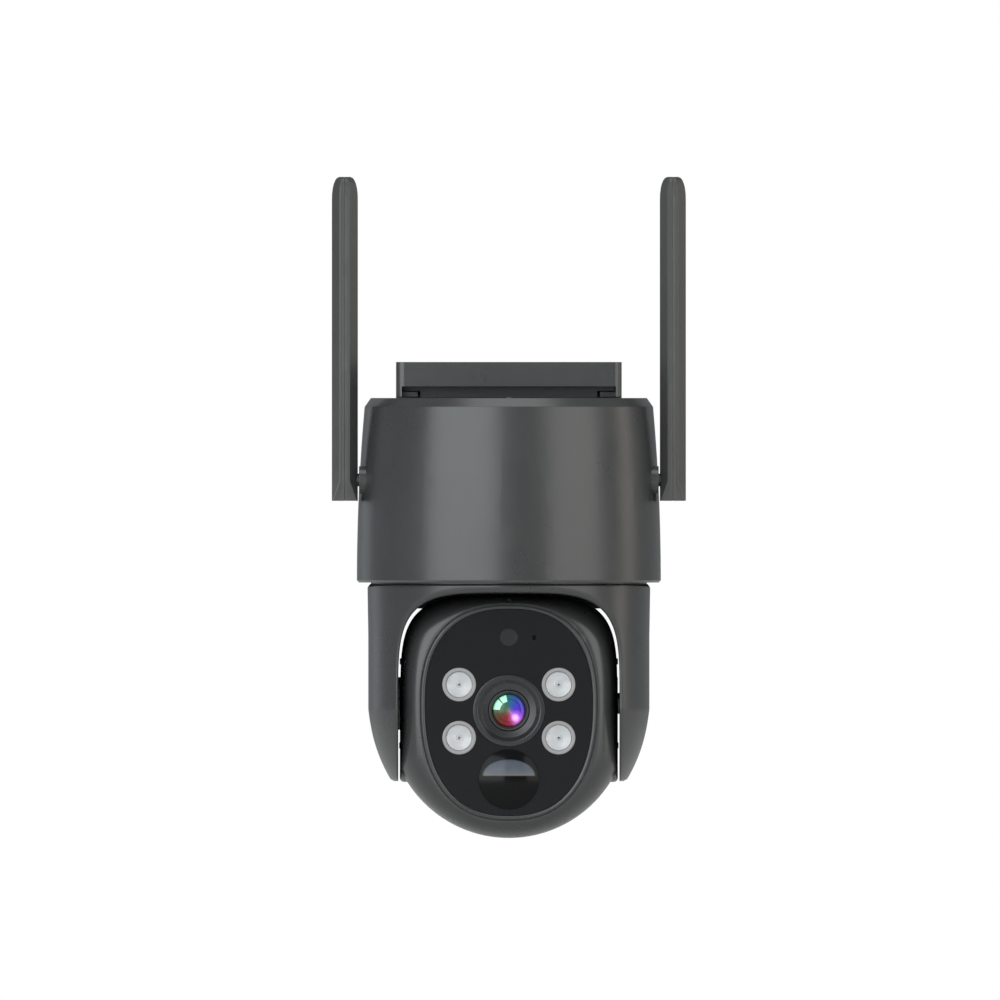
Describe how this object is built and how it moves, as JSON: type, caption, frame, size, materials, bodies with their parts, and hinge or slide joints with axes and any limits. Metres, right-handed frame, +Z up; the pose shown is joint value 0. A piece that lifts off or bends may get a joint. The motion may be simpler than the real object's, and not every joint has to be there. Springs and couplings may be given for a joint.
{
  "type": "security camera",
  "caption": "Pan and tilt security camera: round housing under a wall bracket, folding antennas, an arched yoke, and a tilting head with lens, lights and motion sensor.",
  "frame": {"origin": "centre of the wall plate's rear face", "axes": "+Y into the wall, +Z up, the camera looks along -Y; -X is the left side seen from the front"},
  "size_m": [0.1238, 0.1132, 0.2315],
  "materials": {
    "satin_charcoal": "fine satin moulding grain",
    "dark_moulding": "matt black moulding",
    "antenna_plastic": "satin moulding",
    "zinc_screw": "zinc plated steel",
    "black_rubber": "matt silicone rubber",
    "cell_wrap": "shrink wrap",
    "green_board": "solder mask",
    "motor_steel": "drawn steel",
    "white_nylon": "moulded nylon",
    "gloss_black": "polished infrared black",
    "bezel_grey": "turned and blackened",
    "lens_glass": "coated optical glass",
    "led_ring_grey": "bright moulded ring",
    "led_clear": "clear optic over white",
    "led_phosphor": "emitter phosphor",
    "smoked_window": "smoked window",
    "sensor_silicon": "silicon under glass",
    "brass_strip": "plated strip"
  },
  "bodies": {
    "mount": {"wall_bracket": "satin_charcoal", "bracket_lock_screw": "zinc_screw", "slide_shoe": "dark_moulding", "shoe_screws": "zinc_screw", "housing_cap": "satin_charcoal", "cap_gasket": "black_rubber", "cap_screws": "zinc_screw", "housing_shell": "satin_charcoal", "battery_tray": "dark_moulding", "battery_cells": "cell_wrap", "main_board": "green_board", "board_components": "green_board", "inside_screws": "zinc_screw", "pan_motor": "motor_steel", "pan_bushing": "white_nylon", "speaker": "dark_moulding", "charging_socket": "motor_steel", "antenna_post_left": "satin_charcoal", "antenna_post_right": "satin_charcoal"},
    "pan_pinion": {"pan_pinion": "white_nylon"},
    "power_button": {"power_button": "bezel_grey"},
    "port_flap": {"port_flap": "black_rubber"},
    "antenna_left": {"antenna_left_inner_case": "antenna_plastic", "antenna_left_outer_case": "antenna_plastic", "antenna_left_radiator": "brass_strip"},
    "antenna_right": {"antenna_right_inner_case": "antenna_plastic", "antenna_right_outer_case": "antenna_plastic", "antenna_right_radiator": "brass_strip"},
    "yoke": {"yoke_shell": "satin_charcoal", "pan_hub": "white_nylon", "pan_gear": "white_nylon", "hub_retaining_ring": "zinc_screw", "yoke_cover_left": "dark_moulding", "yoke_cover_right": "dark_moulding", "yoke_screws": "zinc_screw", "tilt_hub": "white_nylon", "tilt_pin": "motor_steel", "tilt_gear": "white_nylon"},
    "tilt_pinion": {"tilt_pinion": "white_nylon"},
    "head": {"head_front_shell": "satin_charcoal", "head_rear_shell": "satin_charcoal", "head_gasket": "black_rubber", "head_screws": "zinc_screw", "service_cover": "black_rubber", "face_panel": "gloss_black", "led_rings": "led_ring_grey", "led_optics": "led_clear", "led_emitters": "led_phosphor", "front_board": "green_board", "lens_bezel": "bezel_grey", "lens_barrel": "bezel_grey", "lens_front_glass": "lens_glass", "lens_holder": "dark_moulding", "image_sensor": "sensor_silicon", "sensor_board": "green_board", "pir_lens": "gloss_black", "pir_sensor": "motor_steel", "light_sensor_window": "smoked_window", "microphone": "dark_moulding", "tilt_motor": "motor_steel"}
  },
  "joints": [
    {"name": "pan", "type": "hinge", "parent": "mount", "child": "yoke", "pos_m": [0, -0.06, -0.0402], "axis": [0, 0, 1], "range_deg": [-177, 177]},
    {"name": "pan_motor_turn", "type": "hinge", "parent": "mount", "child": "pan_pinion", "pos_m": [0, -0.0312, -0.0397], "axis": [0, 0, 1], "range_deg": [-900, 900]},
    {"name": "tilt", "type": "hinge", "parent": "yoke", "child": "head", "pos_m": [0, -0.06, -0.082], "axis": [1, 0, 0], "range_deg": [0, 90]},
    {"name": "tilt_motor_turn", "type": "hinge", "parent": "head", "child": "tilt_pinion", "pos_m": [0, -0.042, -0.082], "axis": [1, 0, 0], "range_deg": [-5, 365]},
    {"name": "antenna_left_fold", "type": "hinge", "parent": "mount", "child": "antenna_left", "pos_m": [-0.0574, -0.071, -0.0038], "axis": [1, 0, 0], "range_deg": [-30, 180]},
    {"name": "antenna_right_fold", "type": "hinge", "parent": "mount", "child": "antenna_right", "pos_m": [0.0574, -0.071, -0.0038], "axis": [1, 0, 0], "range_deg": [-30, 180]},
    {"name": "power_press", "type": "slide", "parent": "mount", "child": "power_button", "axis": [-0.7071, -0.7071, 0], "range_m": [0, 0.0008], "stiffness_N_per_m": 400, "springref_m": -0.0004},
    {"name": "flap_open", "type": "hinge", "parent": "mount", "child": "port_flap", "pos_m": [0.03642, -0.02358, -0.027], "axis": [-0.7071, 0.7071, 0], "range_deg": [0, 100]}
  ],
  "couplings": [
    {"joint": "pan_motor_turn", "follows": "pan", "ratio": -5},
    {"joint": "tilt_motor_turn", "follows": "tilt", "ratio": 4}
  ]
}
